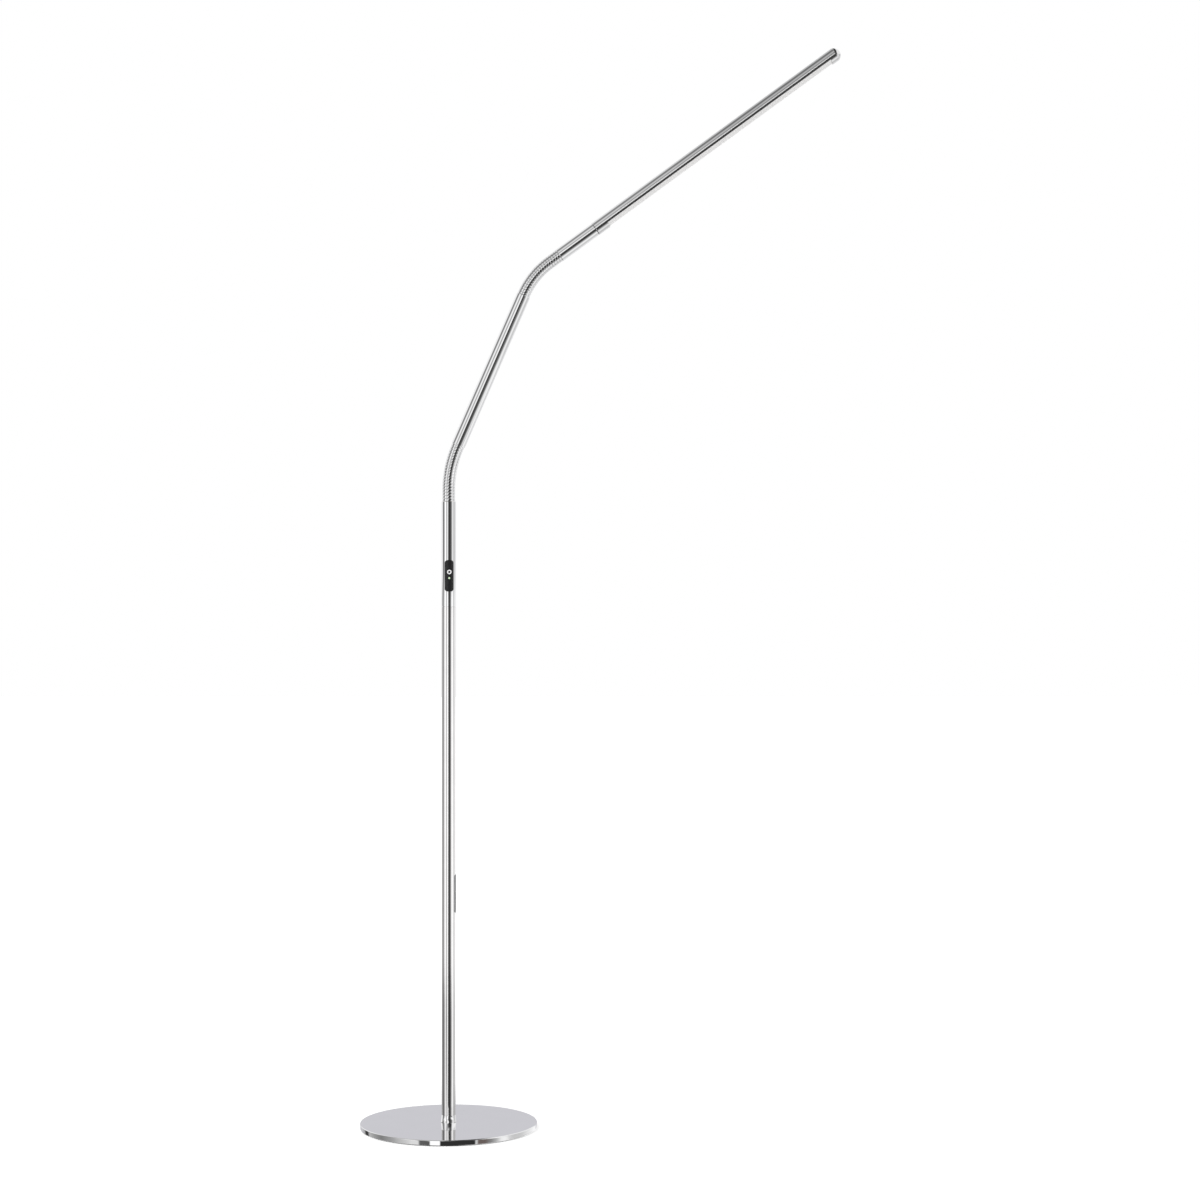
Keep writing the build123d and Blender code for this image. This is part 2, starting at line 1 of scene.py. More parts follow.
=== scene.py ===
import json
import math
import bpy
import bmesh
import numpy as np
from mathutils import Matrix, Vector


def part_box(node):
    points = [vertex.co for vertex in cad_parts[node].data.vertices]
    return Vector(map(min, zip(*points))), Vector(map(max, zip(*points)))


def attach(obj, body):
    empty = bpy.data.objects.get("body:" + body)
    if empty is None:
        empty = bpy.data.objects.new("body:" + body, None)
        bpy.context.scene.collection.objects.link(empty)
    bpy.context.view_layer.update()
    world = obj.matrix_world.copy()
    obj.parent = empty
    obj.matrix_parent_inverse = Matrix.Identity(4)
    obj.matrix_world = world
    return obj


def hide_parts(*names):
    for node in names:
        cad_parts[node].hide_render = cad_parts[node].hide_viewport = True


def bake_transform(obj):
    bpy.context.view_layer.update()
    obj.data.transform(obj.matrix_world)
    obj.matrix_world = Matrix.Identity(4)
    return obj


# Floor lamp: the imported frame, dressed. Metres, +Z up, the front looks along -Y.

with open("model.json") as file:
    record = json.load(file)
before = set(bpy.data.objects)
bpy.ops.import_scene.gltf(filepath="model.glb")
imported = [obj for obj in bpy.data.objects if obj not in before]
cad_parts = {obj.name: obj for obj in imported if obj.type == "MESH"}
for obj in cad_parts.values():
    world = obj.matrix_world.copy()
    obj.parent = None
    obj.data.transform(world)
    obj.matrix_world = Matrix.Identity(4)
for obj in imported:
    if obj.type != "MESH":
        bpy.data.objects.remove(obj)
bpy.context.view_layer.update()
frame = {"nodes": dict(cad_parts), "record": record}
print("frame loaded:", len(frame["nodes"]), "nodes")


# Camera, level with the middle of the lamp

cameraView = {
    "place": (0.2013, -3.383, 0.702),
    "focalLength": 76.3,  # millimetres on a 36 mm sensor
    "sensor": 36.0,
    "clipEnd": 100.0,
}


def addCamera(view):
    data = bpy.data.cameras.new("lampCamera")
    data.lens = view["focalLength"]
    data.sensor_width = view["sensor"]
    data.clip_end = view["clipEnd"]
    camera = bpy.data.objects.new("lampCamera", data)
    camera.location = view["place"]
    camera.rotation_euler = (math.pi / 2, 0, 0)
    bpy.context.scene.collection.objects.link(camera)
    bpy.context.scene.camera = camera


addCamera(cameraView)
print("camera set")


# Node helpers

def addNode(tree, kind, inputs=None, **settings):
    node = tree.nodes.new(kind)
    for name, value in settings.items():
        setattr(node, name, value)
    for name, value in (inputs or {}).items():
        socket = node.inputs[name]
        if isinstance(value, bpy.types.NodeSocket):
            tree.links.new(value, socket)
        else:
            socket.default_value = value
    return node


def mathNode(tree, operation, first, second=0.0):
    return addNode(tree, "ShaderNodeMath", {0: first, 1: second}, operation=operation).outputs[0]


def mixNode(tree, share, first, second):
    # sockets 6 and 7 are the colour pair of the Mix node, output 2 its colour
    return addNode(tree, "ShaderNodeMix", {0: share, 6: first, 7: second}, data_type="RGBA").outputs[2]


def rampNode(tree, factor, stops):
    # stops are (position, grey or colour)
    node = addNode(tree, "ShaderNodeValToRGB", {"Fac": factor})
    band = node.color_ramp
    while len(band.elements) < len(stops):
        band.elements.new(1.0)
    for element, (position, tone) in zip(band.elements, stops):
        element.position = position
        element.color = (*tone, 1) if isinstance(tone, tuple) else (tone, tone, tone, 1)
    return node.outputs["Color"]


def rangeNode(tree, value, low, high, toLow, toHigh, smooth=False):
    node = addNode(
        tree,
        "ShaderNodeMapRange",
        {"Value": value, "From Min": low, "From Max": high, "To Min": toLow, "To Max": toHigh},
        interpolation_type="SMOOTHSTEP" if smooth else "LINEAR",
    )
    return node.outputs["Result"]


# Studio: a pale tent that the metal shows. Each half of the tent has rows of tones from the lowest row to
# the highest, and each row has the heights (sine of the elevation) between which it takes over. A tone is
# given by its angle in degrees from the direction of the camera. Flags lie over the rows.

paleTone = 0.95
deepGrey = (0.045, 0.042, 0.04)
umber = (0.15, 0.12, 0.11)
coolGrey = (0.613, 0.61, 0.645)
footLeftSide = [
    (38, 0.85), (43, 1.0), (52, 0.92), (58, 0.72), (66, 0.46), (74, 0.24), (84, 0.13), (94, 0.13),
    (106, 0.2), (120, 0.3), (135, 0.5), (160, coolGrey),
]
footRight = [
    (0, 0.025), (22, 0.03), (28, 0.06), (35, 0.13), (42, 0.25), (48, 0.5), (55, 0.8), (62, 0.98), (73, 1.0),
    (79, 0.8), (86, 0.48), (96, 0.4), (108, 0.45), (125, 0.5), (160, coolGrey),
]
poleRightSide = [
    (24, 0.045), (31, 0.06), (38, 0.1), (46, 0.17), (54, 0.34), (60, 0.65), (66, 0.88), (74, 0.86),
    (83, 0.7), (96, 0.58), (108, 0.56), (120, 0.66), (140, 0.95), (158, coolGrey),
]
armLeft = [
    (0, 0.2), (1.5, 0.6), (4, 1.05), (13, 1.05), (18, 0.78), (25, 0.42), (32, 0.36), (38, 0.5), (45, 0.88),
    (53, 1.05), (60, 0.92), (68, 0.55), (77, 0.29), (87, 0.18), (96, 0.27), (106, 0.6), (118, 0.97),
    (145, 1.0), (158, coolGrey),
]
armRightSide = [
    (39, 0.22), (48, 0.42), (57, 0.7), (66, 0.95), (75, 0.95), (86, 0.72), (99, 0.6), (113, 0.62),
    (130, 0.82), (150, 1.0),
]
noStart = (-361, -360)  # a window's two marks on a side that has no limit
noEnd = (360, 361)
studio = {
    "lampSide": (0.809, 0.0, -0.588),  # splits the tent into a right and a left half
    "sideBlend": 0.08,
    "leastAcross": 0.05,  # keeps the split finite straight ahead
    "leftRows": [
        (None, [(0, paleTone), (180, paleTone)]),
        # edge of the base
        ((-0.45, -0.4), [
            (0, 1.0), (29.6, 1.0), (30.6, 0.1), (40.5, 0.12), (42.5, 0.75), (50, 0.75), (58, 0.62),
            (68, 0.5), (76, 0.38), (96, 0.22), (110, 0.34), (122, 0.5), (127, 0.05), (134, 0.05), (137, 0.4),
            (150, coolGrey),
        ]),
        # foot
        ((-0.25, -0.225), [
            (0, 0.03), (3, 0.06), (6, 0.85), (10, 1.0), (17, 0.95), (22, 0.7), (28, 0.58), (33, 0.63),
            *footLeftSide,
        ]),
        # lower pole, from its bottom up
        ((-0.194, -0.186), [
            (0, 0.035), (3, 0.07), (6, 0.9), (10, 1.2), (18, 1.15), (23, 0.6), (27, 0.21), (32, 0.13),
            (36, 0.25), (41, 0.75), (47, 0.97), (53, 0.9), (60, 0.64), (69, 0.39), (80, 0.2), (90, 0.15),
            (101, 0.19), (114, 0.26), (126, 0.38), (138, 0.75), (180, 0.95),
        ]),
        ((-0.156, -0.142), [
            (0, deepGrey), (2.5, 0.08), (5, 1.12), (20, 1.15), (24, 0.8), (28, 0.45), (32, 0.36), (36, 0.5),
            (40, 1.0), (44, 1.1), (60, 1.1), (67, 0.95), (74, 0.62), (81, 0.36), (89, 0.32), (98, 0.34),
            (110, 0.38), (120, 0.42), (128, 0.52), (140, 0.85), (180, 0.95),
        ]),
        # upper pole
        ((0.0, 0.012), [
            (0, deepGrey), (2, 0.06), (4, 0.4), (8, 0.85), (15, 0.95), (21, 0.82), (26, 0.5), (32, 0.36),
            (37, 0.6), (41, 1.1), (46, 1.3), (56, 1.25), (61, 0.9), (68, 0.48), (76, 0.27), (86, 0.17),
            (96, 0.2), (104, 0.48), (115, 0.92), (130, 1.05), (145, 1.0), (158, coolGrey),
        ]),
        # arm, with a narrow row for the foot by way of the base's top
        ((0.045, 0.085), armLeft),
        ((0.186, 0.192), [
            (0, 0.03), (3, 0.1), (6, 0.85), (10, 1.0), (17, 0.95), (22, 0.7), (28, 0.55), (33, 0.6),
            *footLeftSide,
        ]),
        ((0.21, 0.216), armLeft),
        # neck and head
        ((0.46, 0.56), [
            (0, deepGrey), (20, 0.8), (25, 0.6), (31, 0.48), (38, 0.55), (45, 0.78), (53, 0.76), (61, 0.54),
            (70, 0.33), (79, 0.24), (91, 0.26), (103, 0.5), (115, 0.85), (130, 1.0), (158, coolGrey),
        ]),
    ],
    "rightRows": [
        (None, [(0, paleTone), (180, paleTone)]),
        # arm, neck and head, with a narrow row for the edge of the base
        ((-0.86, -0.8), [(0, deepGrey), (22, deepGrey), (31, 0.1), *armRightSide]),
        ((-0.405, -0.392), [
            (0, 0.03), (43, 0.03), (44.3, 0.6), (45.8, 0.6), (47.3, umber), (56, umber), (64, 0.26),
            (71, 0.48), (78, 0.88), (88, 1.0), (105, 0.9), (130, 0.6), (150, coolGrey),
        ]),
        ((-0.336, -0.325), [(0, deepGrey), (20, deepGrey), (30, 0.1), *armRightSide]),
        # foot
        ((-0.24, -0.215), footRight),
        # lower pole, from its bottom up
        ((-0.194, -0.186), [
            (0, 0.03), (24, 0.035), (31, 0.07), (38, 0.12), (45, 0.24), (51, 0.47), (58, 0.8), (64, 1.0),
            (74, 1.05), (80, 0.85), (87, 0.46), (98, 0.44), (110, 0.6), (125, 0.76), (140, 0.95),
            (180, 0.95),
        ]),
        ((-0.156, -0.142), [
            (0, 0.05), (20, 0.06), (28, 0.12), (35, 0.26), (42, 0.55), (48, 0.92), (55, 1.08), (75, 1.1),
            (82, 0.8), (90, 0.56), (100, 0.58), (111, 0.85), (122, 1.0), (150, 1.0), (160, coolGrey),
        ]),
        # upper pole and above, with a narrow row for the foot by way of the base's top
        ((0.0, 0.012), [(0, deepGrey), *poleRightSide]),
        ((0.022, 0.05), [(0, 0.6), (1.5, 0.45), (3.5, 0.12), (5.5, 0.045), *poleRightSide]),
        ((0.186, 0.192), footRight),
        ((0.21, 0.216), [(0, deepGrey), *poleRightSide]),
    ],
    # strips within doubled bearings of a mirror's normal, about the upright axis and about the split's
    # leaning axis, and within heights: each from start to full and from fade to end
    "flags": [
        # dark stripe on the grooves and the end cap where they face up, and the pale end of the cap
        {"tone": 0.042, "upright": (-2.5, 0.0, 42, 50), "leaning": (*noStart, 18, 24),
         "heights": (0.36, 0.42, *noEnd)},
        {"tone": 0.97, "upright": (50, 60, *noEnd), "leaning": (*noStart, 80, 110),
         "heights": (0.25, 0.35, *noEnd)},
        # dark stripe on the grooves where they face down
        {"tone": 0.042, "upright": (*noStart, 13, 17), "leaning": (-1, 2, *noEnd),
         "heights": (*noStart, -0.46, -0.42)},
        # dark stripe on the foot, by way of the base's top
        {"tone": 0.03, "upright": (-4.0, -2.0, 20, 24), "leaning": (*noStart, 0, 3),
         "heights": (0.186, 0.192, 0.21, 0.216)},
        # pale gap on the edge of the base
        {"tone": 1.1, "upright": (-21.0, -19.5, -8.5, -6.8), "leaning": (*noStart, *noEnd),
         "heights": (-0.46, -0.42, -0.3, -0.26)},
    ],
    "floorTone": 0.92,
    "floorNear": 0.5,  # glow of the floor beside the lamp, seen by the camera alone
    "floorFar": 1.0,  # and further off, so that the floor meets the background
    "floorReach": (0.15, 0.6),
    "floorSize": 30.0,
    "headLine": (0.808, 0.0, 0.589),
    "headShade": (0.085, 0.16, 0.0, 0.3),  # how far the left half darkens towards the way the head points
    "headHeights": (0.25, 0.4),  # and from what height on
    "keyPlace": (-1.6, -2.2, 3.2),
    "keySize": 2.4,
    "keyPower": 60.0,
}


def tentHalf(tree, share, height, rows):
    tone = None
    for heights, stops in rows:
        row = rampNode(tree, share, [(degrees / 180, grey) for degrees, grey in stops])
        if tone is None:
            tone = row
        else:
            tone = mixNode(tree, rangeNode(tree, height, *heights, 0.0, 1.0, smooth=True), tone, row)
    return tone


def window(tree, value, start, full, fade, end):
    # 0 outside, 1 between full and fade
    opening = rangeNode(tree, value, start, full, 0.0, 1.0, smooth=True)
    return mathNode(tree, "MULTIPLY", opening, rangeNode(tree, value, fade, end, 1.0, 0.0, smooth=True))


def doubledBearing(tree, aside, ahead):
    bearing = mathNode(tree, "ARCTAN2", aside, ahead)
    return mathNode(tree, "MULTIPLY", bearing, math.degrees(2))


def buildTent(setup):
    world = bpy.data.worlds.new("studioTent")
    bpy.context.scene.world = world
    world.use_nodes = True
    tree = world.node_tree
    tree.nodes.clear()
    direction = addNode(tree, "ShaderNodeTexCoord").outputs["Generated"]
    axes = addNode(tree, "ShaderNodeSeparateXYZ", {"Vector": direction})
    angle = mathNode(tree, "ARCCOSINE", mathNode(tree, "MULTIPLY", axes.outputs["Y"], -1.0))
    share = mathNode(tree, "DIVIDE", angle, math.pi)
    across = mathNode(tree, "MAXIMUM", mathNode(tree, "SINE", angle), setup["leastAcross"])
    lean = addNode(
        tree, "ShaderNodeVectorMath", {0: direction, 1: setup["lampSide"]}, operation="DOT_PRODUCT"
    ).outputs["Value"]
    leanShare = mathNode(tree, "DIVIDE", lean, across)
    side = rangeNode(tree, leanShare, -setup["sideBlend"], setup["sideBlend"], 0.0, 1.0, smooth=True)
    left = tentHalf(tree, share, axes.outputs["Z"], setup["leftRows"])
    along = addNode(
        tree, "ShaderNodeVectorMath", {0: direction, 1: setup["headLine"]}, operation="DOT_PRODUCT"
    ).outputs["Value"]
    high = rangeNode(tree, axes.outputs["Z"], *setup["headHeights"], 0.0, 1.0, smooth=True)
    shade = mathNode(tree, "MULTIPLY", high, rangeNode(tree, along, *setup["headShade"], smooth=True))
    left = mixNode(tree, shade, left, (0, 0, 0, 1))
    right = tentHalf(tree, share, axes.outputs["Z"], setup["rightRows"])
    colour = mixNode(tree, side, left, right)
    ahead = mathNode(tree, "SUBTRACT", 1.0, axes.outputs["Y"])
    upright = doubledBearing(tree, axes.outputs["X"], ahead)
    leaning = doubledBearing(tree, lean, ahead)
    for flag in setup["flags"]:
        inside = window(tree, axes.outputs["Z"], *flag["heights"])
        inside = mathNode(tree, "MULTIPLY", inside, window(tree, upright, *flag["upright"]))
        inside = mathNode(tree, "MULTIPLY", inside, window(tree, leaning, *flag["leaning"]))
        tone = flag["tone"]
        colour = mixNode(tree, inside, colour, (tone, tone, tone, 1))
    tent = addNode(tree, "ShaderNodeBackground", {"Color": colour})
    plain = addNode(tree, "ShaderNodeBackground", {"Color": (1, 1, 1, 1)})
    seen = addNode(tree, "ShaderNodeLightPath").outputs["Is Camera Ray"]
    mixed = addNode(tree, "ShaderNodeMixShader", {0: seen, 1: tent.outputs[0], 2: plain.outputs[0]})
    addNode(tree, "ShaderNodeOutputWorld", {"Surface": mixed.outputs[0]})


def buildFloor(setup):
    material = bpy.data.materials.new("studioFloor")
    material.use_nodes = True
    tree = material.node_tree
    tree.nodes.clear()
    tone = setup["floorTone"]
    matt = addNode(tree, "ShaderNodeBsdfDiffuse", {"Color": (tone, tone, tone, 1)})
    seen = addNode(tree, "ShaderNodeLightPath").outputs["Is Camera Ray"]
    place = addNode(tree, "ShaderNodeTexCoord").outputs["Object"]
    away = addNode(tree, "ShaderNodeVectorMath", {0: place}, operation="LENGTH").outputs["Value"]
    low, high = setup["floorReach"]
    glowTone = rangeNode(tree, away, low, high, setup["floorNear"], setup["floorFar"], smooth=True)
    lift = mathNode(tree, "MULTIPLY", seen, glowTone)
    glow = addNode(tree, "ShaderNodeEmission", {"Color": (1, 1, 1, 1), "Strength": lift})
    both = addNode(tree, "ShaderNodeAddShader", {0: matt.outputs[0], 1: glow.outputs[0]})
    addNode(tree, "ShaderNodeOutputMaterial", {"Surface": both.outputs[0]})
    half = setup["floorSize"] / 2
    mesh = bpy.data.meshes.new("studioFloor")
    mesh.from_pydata(
        [(-half, -half, 0), (half, -half, 0), (half, half, 0), (-half, half, 0)], [], [(0, 1, 2, 3)]
    )
    mesh.materials.append(material)
    floor = bpy.data.objects.new("studioFloor", mesh)
    floor.visible_glossy = False  # the metal shows the tent all round
    bpy.context.scene.collection.objects.link(floor)


def buildKey(setup):
    data = bpy.data.lights.new("softKey", "AREA")
    data.size = setup["keySize"]
    data.energy = setup["keyPower"]
    key = bpy.data.objects.new("softKey", data)
    key.location = setup["keyPlace"]
    key.rotation_euler = (-key.location).to_track_quat("-Z", "Y").to_euler()  # aimed at the base
    key.visible_glossy = False
    bpy.context.scene.collection.objects.link(key)


buildTent(studio)
buildFloor(studio)
buildKey(studio)
bpy.context.scene.view_settings.view_transform = "Standard"
print("studio set")


# Finishes

grainReach = (0.3, 0.7)  # where the noise mostly lies
hazeReach = (0.35, 0.65)
headLean = 53.9  # degrees from upright


def startFinish(name):
    material = bpy.data.materials.new(name)
    material.use_nodes = True
    tree = material.node_tree
    tree.nodes.clear()
    shader = addNode(tree, "ShaderNodeBsdfPrincipled")
    addNode(tree, "ShaderNodeOutputMaterial", {"Surface": shader.outputs[0]})
    return material, tree, shader


def grain(tree, scale, stretch=(1, 1, 1), turn=(0, 0, 0), detail=3.0):
    coordinate = addNode(tree, "ShaderNodeTexCoord").outputs["Object"]
    mapped = addNode(
        tree, "ShaderNodeMapping", {"Vector": coordinate, "Rotation": turn, "Scale": stretch}
    )
    noise = addNode(
        tree, "ShaderNodeTexNoise", {"Vector": mapped.outputs[0], "Scale": scale, "Detail": detail}
    )
    return noise.outputs["Fac"]


def metalFinish(name, setup):
    # drawing lines set the roughness, a faint haze the tone, and a slow wave bends the reflections
    material, tree, shader = startFinish(name)
    turn = setup.get("turn", (0, 0, 0))
    lines = grain(tree, setup["lineScale"], setup["lineStretch"], turn)
    haze = grain(tree, setup["hazeScale"])
    tone = np.array(setup["tone"])
    tones = list(zip(hazeReach, (tuple(tone * setup["deepShare"]), tuple(tone))))
    tree.links.new(rampNode(tree, haze, tones), shader.inputs["Base Color"])
    tree.links.new(rangeNode(tree, lines, *grainReach, *setup["roughness"]), shader.inputs["Roughness"])
    if setup.get("waveDepth"):
        wave = grain(tree, setup["waveScale"], setup["waveStretch"], turn, detail=1.0)
        bump = addNode(tree, "ShaderNodeBump", {"Height": wave, "Distance": setup["waveDepth"]})
        tree.links.new(bump.outputs[0], shader.inputs["Normal"])
    shader.inputs["Metallic"].default_value = 1.0
    return material


def plainFinish(name, setup):
    material, tree, shader = startFinish(name)
    speck = grain(tree, setup["grainScale"])
    tone = np.array(setup["tone"])
    low, high = setup["toneSpread"]
    tones = list(zip(grainReach, (tuple(tone * low), tuple(np.minimum(tone * high, 1.0)))))
    tree.links.new(rampNode(tree, speck, tones), shader.inputs["Base Color"])
    tree.links.new(rangeNode(tree, speck, *grainReach, *setup["roughness"]), shader.inputs["Roughness"])
    bump = addNode(
        tree, "ShaderNodeBump", {"Height": speck, "Strength": setup["bump"], "Distance": setup["bumpDepth"]}
    )
    tree.links.new(bump.outputs[0], shader.inputs["Normal"])
    shader.inputs["Metallic"].default_value = setup.get("metallic", 0.0)
    # emission: the lit indicator lens, and painted light on the white ring and the cover
    if "glow" in setup:
        shader.inputs["Emission Color"].default_value = (*setup["glow"], 1)
        shader.inputs["Emission Strength"].default_value = setup["glowStrength"]
    return material


metals = {
    "polished_metal": {
        "tone": (0.93, 0.93, 0.935), "deepShare": 0.985, "hazeScale": 30.0,
        "lineScale": 900.0, "lineStretch": (1, 1, 0.02), "roughness": (0.025, 0.045),
    },
    "drawnTube": {
        "tone": (0.93, 0.92, 0.92), "deepShare": 0.97, "hazeScale": 90.0,
        "lineScale": 900.0, "lineStretch": (1, 1, 0.02), "roughness": (0.05, 0.08),
        "waveScale": 120.0, "waveStretch": (1, 1, 0.5), "waveDepth": 0.00002,
    },
    "head_metal": {
        "tone": (0.86, 0.86, 0.865), "deepShare": 0.95, "hazeScale": 40.0,
        "lineScale": 900.0, "lineStretch": (1, 1, 0.02), "roughness": (0.06, 0.1),
        "turn": (0, math.radians(-headLean), 0),
    },
    "hose_metal": {
        "tone": (0.90, 0.90, 0.905), "deepShare": 0.95, "hazeScale": 60.0,
        "lineScale": 500.0, "lineStretch": (1, 1, 1), "roughness": (0.03, 0.06),
    },
}
plains = {
    "inner_steel": {"tone": (0.55, 0.55, 0.57), "metallic": 1.0, "roughness": (0.3, 0.45)},
    "inner_brass": {"tone": (0.78, 0.6, 0.28), "metallic": 1.0, "roughness": (0.25, 0.4)},
    "inner_aluminium": {"tone": (0.75, 0.75, 0.76), "metallic": 1.0, "roughness": (0.35, 0.5)},
    "black_plastic": {"tone": (0.012, 0.012, 0.013), "roughness": (0.38, 0.5)},
    "grey_plastic": {"tone": (0.44, 0.44, 0.445), "roughness": (0.4, 0.5)},
    "inner_plastic": {"tone": (0.1, 0.1, 0.105), "roughness": (0.45, 0.6)},
    # the white ring's glow is painted light: it lifts the ring whiter than the studio lights it
    "white_plastic": {
        "tone": (0.9, 0.9, 0.91), "roughness": (0.25, 0.35), "glow": (1.0, 1.0, 1.0), "glowStrength": 0.25,
    },
    "green_lens": {
        "tone": (0.25, 0.34, 0.2), "roughness": (0.1, 0.2), "glow": (0.8, 1.0, 0.7), "glowStrength": 0.75,
    },
    "circuit_board": {"tone": (0.05, 0.22, 0.1), "roughness": (0.25, 0.4)},
    "light_board": {"tone": (0.88, 0.88, 0.86), "roughness": (0.3, 0.4)},
    "emitter": {"tone": (0.9, 0.8, 0.4), "roughness": (0.2, 0.3)},
    # the cover's faint glow is painted light that brightens its tone
    "milky_cover": {
        "tone": (0.91, 0.905, 0.9), "roughness": (0.4, 0.5), "toneSpread": (0.985, 1.01), "bump": 0.04,
        "glow": (1.0, 0.98, 0.97), "glowStrength": 0.2,
    },
    "lead_sheath": {"tone": (0.03, 0.03, 0.03), "roughness": (0.5, 0.65)},
    "pad_rubber": {"tone": (0.035, 0.035, 0.037), "roughness": (0.65, 0.8)},
}
grainOf = {"grainScale": 2500.0, "toneSpread": (0.92, 1.06), "bump": 0.15, "bumpDepth": 0.0001}
nodeFinish = {"lower_pole": "drawnTube"}  # a node whose finish differs from the rest of its slot

finishes = {name: metalFinish(name + "Finish", setup) for name, setup in metals.items()}
for name, setup in plains.items():
    finishes[name] = plainFinish(name + "Finish", {**grainOf, **setup})

for part in frame["record"]["subparts"]:
    finish = nodeFinish.get(part["node"], part["material_slot"])
    for holder in frame["nodes"][part["node"]].material_slots:
        holder.material = finishes[finish]


# Surfaces worked out as grids

weldReach = 1e-6


def addSurface(name, points, slot, sharpDegrees=None):
    # points[row, column, xyz]; columns close round, rows end open or on one point
    rows, columns = points.shape[:2]
    index = np.arange(rows * columns).reshape(rows, columns)
    beside = np.roll(index, -1, axis=1)
    quads = np.stack([index[:-1], beside[:-1], beside[1:], index[1:]], axis=-1).reshape(-1, 4)
    mesh = bpy.data.meshes.new(name)
    mesh.from_pydata(points.reshape(-1, 3), [], quads)
    shape = bmesh.new()
    shape.from_mesh(mesh)
    bmesh.ops.remove_doubles(shape, verts=shape.verts, dist=weldReach)
    if shape.calc_volume(signed=True) < 0:
        bmesh.ops.reverse_faces(shape, faces=shape.faces)
    shape.to_mesh(mesh)
    shape.free()
    mesh.polygons.foreach_set("use_smooth", np.ones(len(mesh.polygons), bool))
    if sharpDegrees:
        mesh.set_sharp_from_angle(angle=math.radians(sharpDegrees))
    mesh.materials.append(finishes[slot])
    piece = bpy.data.objects.new(name, mesh)
    bpy.context.scene.collection.objects.link(piece)
    return piece


# Goosenecks: beads along a straight run, an arc and a straight run

hose = {
    "crest": 0.0085,
    "grooveDepth": 0.00034,
    "grooveHalf": 0.145,  # half of the groove's width, in beads
    "crown": 0.00005,  # rise of a bead's middle over its shoulders
    "beads": 19,
    "blendBeads": 2,  # beads on each side of the middle that go into the middle piece
    "endBeads": 1,  # beads at each end, next to their tube
    "aroundSteps": 64,
    "grooveSteps": 5,
    "crownSteps": 7,
}
lowerNeck = {"lean": 0.0, "runIn": 0.0143, "radius": 0.1505, "turn": 23.5, "runOut": 0.0005}
upperNeck = {"lean": 23.5, "runIn": 0.002, "radius": 0.1012, "turn": 30.4, "runOut": 0.0172}
armLength = 0.2172


def neckPath(start, neck, distance):
    # straight, then an arc of the neck's radius in the plane of the arm, then straight again
    lean, turn = math.radians(neck["lean"]), math.radians(neck["turn"])
    arc = neck["radius"] * turn
    bent = np.clip(distance - neck["runIn"], 0, arc)
    angle = lean + bent / neck["radius"]
    before = np.minimum(distance, neck["runIn"])
    after = np.maximum(distance - neck["runIn"] - arc, 0)
    x = np.sin(lean) * before + neck["radius"] * (np.cos(lean) - np.cos(angle)) + np.sin(angle) * after
    z = np.cos(lean) * before + neck["radius"] * (np.sin(angle) - np.sin(lean)) + np.cos(angle) * after
    place = np.stack([start[0] + x, np.zeros_like(x), start[2] + z], axis=-1)
    return place, angle


def neckLength(neck):
    return neck["runIn"] + neck["radius"] * math.radians(neck["turn"]) + neck["runOut"]


def beadedHose(start, neck, firstBead, lastBead):
    # radius = crest - crown * (2u - 1)^2 - depth * (1 + cos(pi * g)) / 2, u the place along the bead and
    # g the distance from the nearest groove's bottom over the groove's half width, at most 1
    half = hose["grooveHalf"]
    down = np.linspace(0, half, hose["grooveSteps"], endpoint=False)
    top = np.linspace(half, 1 - half, hose["crownSteps"])
    oneBead = np.concatenate([down, top, 1 - down[:0:-1]])
    bead = (np.arange(firstBead, lastBead)[:, None] + oneBead).ravel()
    bead = np.append(bead, lastBead)
    u = bead % 1.0
    groove = np.minimum(np.minimum(u, 1 - u) / half, 1)
    radius = hose["crest"] - hose["crown"] * (2 * u - 1) ** 2
    radius = radius - hose["grooveDepth"] * (1 + np.cos(np.pi * groove)) / 2
    place, angle = neckPath(start, neck, bead * neckLength(neck) / hose["beads"])
    turn = np.linspace(0, 2 * np.pi, hose["aroundSteps"], endpoint=False)
    sideways = np.stack([np.cos(angle), np.zeros_like(angle), -np.sin(angle)], axis=-1)
    across = np.array([0.0, 1.0, 0.0])
    spoke = np.cos(turn)[None, :, None] * sideways[:, None] + np.sin(turn)[None, :, None] * across
    return place[:, None] + radius[:, None, None] * spoke


def dressNeck(name, start, neck, nodes):
    beads = hose["beads"]
    middle = beads // 2
    cuts = [0, middle - hose["blendBeads"], middle + hose["blendBeads"], beads]
    for number, (first, last) in enumerate(zip(cuts, cuts[1:])):
        piece = addSurface(f"{name}{number + 1}", beadedHose(start, neck, first, last), "hose_metal")
        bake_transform(piece)
        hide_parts(*nodes[number])


poleTop = np.array([0.0, 0.0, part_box("upper_pole")[1].z])
armFoot, armLean = neckPath(poleTop, lowerNeck, np.array([neckLength(lowerNeck)]))
armTop = armFoot[0] + armLength * np.array([np.sin(armLean[0]), 0, np.cos(armLean[0])])
dressNeck(
    "lowerGooseneck",
    poleTop,
    lowerNeck,
    [["lower_hose_1"], ["lower_hose_2", "lower_hose_3"], ["lower_hose_4"]],
)
dressNeck(
    "upperGooseneck",
    armTop,
    upperNeck,
    [["upper_hose_1"], ["upper_hose_2", "upper_hose_3"], ["upper_hose_4"]],
)
print("goosenecks dressed")


# Base disc with a softly rounded rim and an edge that leans in

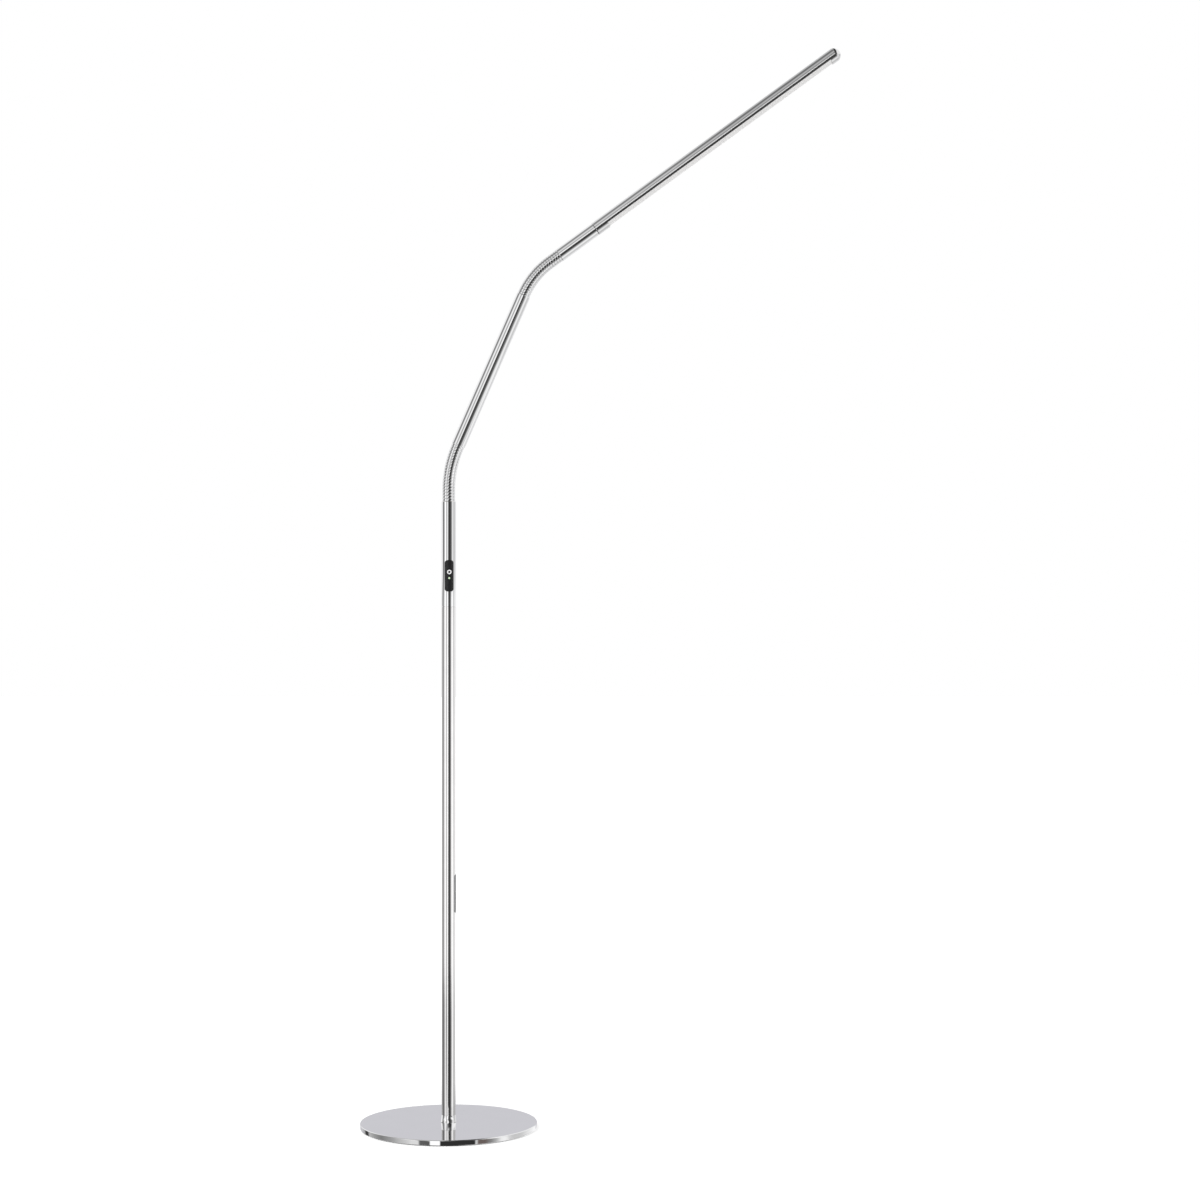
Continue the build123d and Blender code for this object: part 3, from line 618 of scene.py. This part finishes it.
baseDisc = {
    "rimRadius": 0.0009,
    "footRimRadius": 0.00045,
    "flatBorder": 0.0002,  # narrow ring beside each rim that keeps the flats flat
    "edgeLean": 5.0,  # degrees by which the edge leans in towards the floor
    "boltHole": 0.00425,
    "recessRadius": 0.011,
    "rimSteps": 10,
    "aroundSteps": 256,
    "sharpDegrees": 35.0,
}


def roundedCorner(centre, radius, startDegrees, endDegrees, steps):
    # arc of a circle in (radius, height)
    turn = np.radians(np.linspace(startDegrees, endDegrees, steps))
    return np.stack([centre[0] + radius * np.cos(turn), centre[1] + radius * np.sin(turn)], axis=-1)


def spun(profile, steps):
    # profile (radius, height) turned about the upright axis through the origin
    turn = np.linspace(0, 2 * np.pi, steps, endpoint=False)
    x = profile[:, :1] * np.cos(turn)
    y = profile[:, :1] * np.sin(turn)
    z = np.broadcast_to(profile[:, 1:], x.shape)
    return np.stack([x, y, z], axis=-1)


def dressBase(setup):
    low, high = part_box("base_plate")
    outer, rim, footRim = high.x, setup["rimRadius"], setup["footRimRadius"]
    bolt, recess = setup["boltHole"], setup["recessRadius"]
    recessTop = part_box("base_washer")[1].z
    steps = setup["rimSteps"]
    lean = setup["edgeLean"]
    leanTurn = math.radians(lean)
    foot = outer - footRim - (high.z - low.z - rim - footRim) * math.tan(leanTurn)
    border = setup["flatBorder"]
    fallBorder = border * np.array([-math.sin(leanTurn), -math.cos(leanTurn)])
    upperRim = roundedCorner((outer - rim, high.z - rim), rim, 90, -lean, steps)
    lowerRim = roundedCorner((foot, low.z + footRim), footRim, -lean, -90, steps)
    profile = np.concatenate([
        [(bolt, high.z), (outer - rim - border, high.z)],
        upperRim,
        [upperRim[-1] + fallBorder, lowerRim[0] - fallBorder],
        lowerRim,
        [(foot - border, low.z), (recess, low.z)],
        [(recess, recessTop), (bolt, recessTop), (bolt, high.z)],
    ])
    surface = spun(profile, setup["aroundSteps"])
    piece = addSurface("baseDisc", surface, "polished_metal", sharpDegrees=setup["sharpDegrees"])
    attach(piece, "stand")
    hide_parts("base_plate")


dressBase(baseDisc)
print("base disc dressed")
